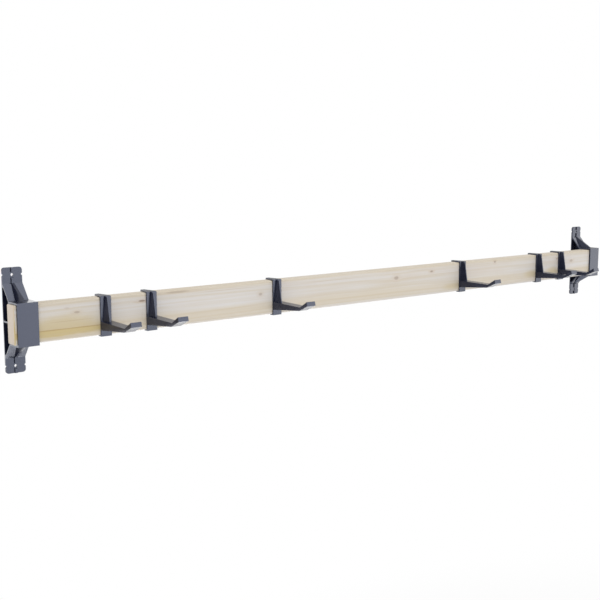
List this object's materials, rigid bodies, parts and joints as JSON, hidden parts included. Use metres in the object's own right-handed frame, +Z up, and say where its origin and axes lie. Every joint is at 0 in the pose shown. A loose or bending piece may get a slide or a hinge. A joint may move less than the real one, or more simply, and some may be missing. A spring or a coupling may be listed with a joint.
{
  "type": "wall hook rack",
  "caption": "Long timber beam held off the wall by a moulded bracket near each end, with moulded coat hooks clipped over it that slide along its length.",
  "frame": {"origin": "on the wall, midway between the two brackets, at the middle of the beam's height", "axes": "+X along the beam to the right as seen from the room, +Y into the wall (the room is on -Y), +Z up"},
  "size_m": [2.19, 0.225, 0.244],
  "materials": {
    "timber": "planed softwood, unfinished",
    "bracket_plastic": "satin moulded",
    "hook_plastic": "satin moulded",
    "screw_steel": "zinc plated"
  },
  "bodies": {
    "rack": {"beam": "timber", "left_bracket": "bracket_plastic", "right_bracket": "bracket_plastic", "beam_screws": "screw_steel"},
    "hook_1": {"hook_1": "hook_plastic"},
    "hook_2": {"hook_2": "hook_plastic"},
    "hook_3": {"hook_3": "hook_plastic"},
    "hook_4": {"hook_4": "hook_plastic"},
    "hook_5": {"hook_5": "hook_plastic"},
    "hook_6": {"hook_6": "hook_plastic"}
  },
  "joints": [
    {"name": "hook_1_slide", "type": "slide", "parent": "rack", "child": "hook_1", "axis": [1, 0, 0], "range_m": [-0.15, 0.045]},
    {"name": "hook_2_slide", "type": "slide", "parent": "rack", "child": "hook_2", "axis": [1, 0, 0], "range_m": [-0.045, 0.175]},
    {"name": "hook_3_slide", "type": "slide", "parent": "rack", "child": "hook_3", "axis": [1, 0, 0], "range_m": [-0.175, 0.35]},
    {"name": "hook_4_slide", "type": "slide", "parent": "rack", "child": "hook_4", "axis": [1, 0, 0], "range_m": [-0.35, 0.175]},
    {"name": "hook_5_slide", "type": "slide", "parent": "rack", "child": "hook_5", "axis": [1, 0, 0], "range_m": [-0.175, 0.045]},
    {"name": "hook_6_slide", "type": "slide", "parent": "rack", "child": "hook_6", "axis": [1, 0, 0], "range_m": [-0.045, 0.15]}
  ]
}
